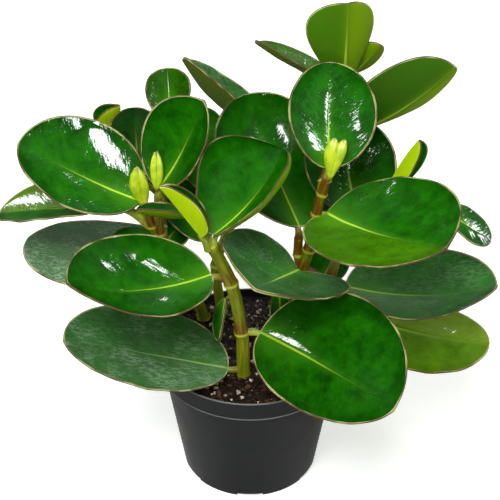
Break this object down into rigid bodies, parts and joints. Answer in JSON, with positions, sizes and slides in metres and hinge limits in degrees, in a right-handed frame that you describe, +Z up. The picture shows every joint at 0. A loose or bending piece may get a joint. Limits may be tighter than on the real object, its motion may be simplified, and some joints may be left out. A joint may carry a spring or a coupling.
{
  "type": "potted peperomia",
  "caption": "Bushy houseplant with branching stems and thick glossy spoon-shaped leaves, rooted in dark soil in a tapered nursery pot.",
  "frame": {"origin": "centre of the pot's flat base, on the surface that it stands on", "axes": "+Z up, -Y towards the side that the front leaves face, +X to the right as seen from that side"},
  "size_m": [0.2988, 0.2394, 0.2909],
  "materials": {
    "pot": "matte",
    "soil": "matte",
    "stem": "satin",
    "leaf": "gloss",
    "leaf_old": "satin",
    "leaf_young": "satin"
  },
  "bodies": {
    "root": {"pot": "pot", "soil": "soil", "stem_front": "stem", "stem_middle": "stem", "stem_left": "stem", "stem_right": "stem", "stem_back": "stem", "leaf_left_broad": "leaf", "leaf_left_far": "leaf", "leaf_left_old": "leaf_old", "leaf_left_front": "leaf", "leaf_left_low": "leaf_old", "leaf_left_top": "leaf", "leaf_left_upright": "leaf", "leaf_left_young": "leaf", "leaf_left_behind": "leaf", "leaf_left_boat": "leaf", "leaf_left_tucked": "leaf", "leaf_centre_spoon": "leaf", "leaf_centre_young": "leaf_young", "leaf_centre_forward": "leaf", "leaf_centre_small": "leaf", "leaf_centre_low": "leaf", "leaf_right_upright": "leaf", "leaf_right_back": "leaf", "leaf_right_shade": "leaf", "leaf_right_broad": "leaf", "leaf_right_old": "leaf_old", "leaf_right_lime": "leaf_young", "leaf_right_front": "leaf", "leaf_right_far": "leaf", "leaf_top": "leaf_young", "leaf_top_right": "leaf", "leaf_top_small": "leaf", "leaf_top_left": "leaf", "leaf_back_narrow": "leaf", "leaf_right_young": "leaf_young", "leaf_back_hidden": "leaf", "leaf_back_low": "leaf", "leaf_left_inner": "leaf", "leaf_right_inner": "leaf", "bud_left": "leaf_young", "bud_left_inner": "leaf_young", "bud_right": "leaf_young"}
  },
  "joints": []
}
